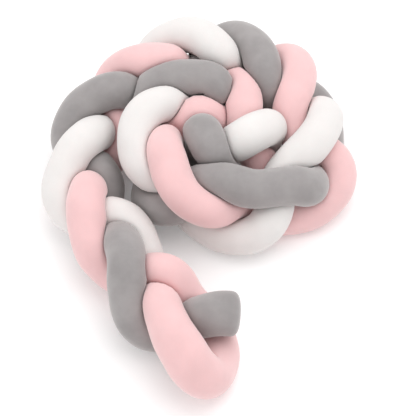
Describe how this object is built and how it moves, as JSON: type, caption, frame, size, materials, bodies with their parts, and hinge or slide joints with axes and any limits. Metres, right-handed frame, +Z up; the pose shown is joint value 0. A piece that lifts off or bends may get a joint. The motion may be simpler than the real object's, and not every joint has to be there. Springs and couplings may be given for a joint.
{
  "type": "knot cushion",
  "caption": "Plaited tube cushion coiled into a flat knot with a short looped tail, soft stuffed velvet in pink, white and grey.",
  "frame": {"origin": "centre of the bounding box on the surface it rests on", "axes": "+Z up, the tail lies towards -Y in front of the coil, +X to the right seen from the tail"},
  "size_m": [0.6138, 0.8338, 0.2091],
  "materials": {
    "velvet_pink": "matt",
    "velvet_white": "matt",
    "velvet_grey": "matt"
  },
  "bodies": {
    "root": {"strand_pink": "velvet_pink", "strand_white": "velvet_white", "strand_grey": "velvet_grey"}
  },
  "joints": []
}
